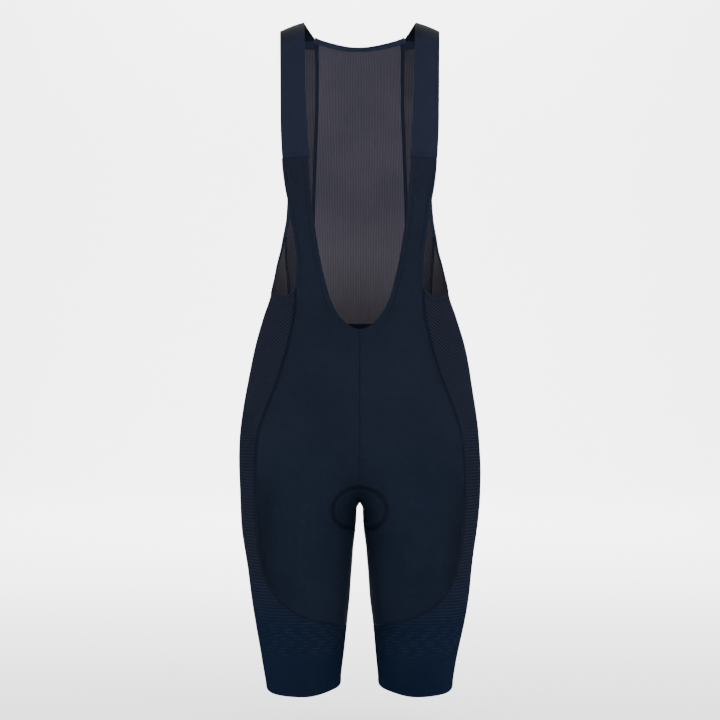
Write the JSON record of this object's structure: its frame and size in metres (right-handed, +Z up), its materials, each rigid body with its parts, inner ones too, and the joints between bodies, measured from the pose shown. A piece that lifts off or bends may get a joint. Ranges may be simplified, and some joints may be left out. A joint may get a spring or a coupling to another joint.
{
  "type": "cycling bib shorts",
  "caption": "Sleeveless cycling bib shorts with elastic shoulder straps, an open bib front, a ribbed mesh back and close-fitting shaped legs.",
  "frame": {"origin": "on the centre line, midway front to back, level with the underside of the strap tops where the wearer's shoulders hold the garment", "axes": "+Z up along the body, -Y towards the front of the garment, +X towards the right of the picture"},
  "size_m": [0.3382, 0.2122, 0.9357],
  "materials": {
    "front_panel": "matte navy stretch knit",
    "side_panel": "navy stretch knit with fine grey lines",
    "back_panel": "matte navy stretch knit",
    "mesh": "fine ribbed grey mauve mesh",
    "binding": "dark folded elastic binding",
    "strap": "navy flat elastic"
  },
  "bodies": {
    "root": {"front_panel_right": "front_panel", "front_panel_left": "front_panel", "side_panel_right": "side_panel", "side_panel_left": "side_panel", "back_panel_right": "back_panel", "back_panel_left": "back_panel", "back_mesh_side_right": "mesh", "back_mesh_side_left": "mesh", "armhole_binding_right": "binding", "armhole_binding_left": "binding", "shoulder_strap_right": "strap", "shoulder_strap_left": "strap", "back_mesh_center": "mesh", "neck_binding": "binding"}
  },
  "joints": []
}
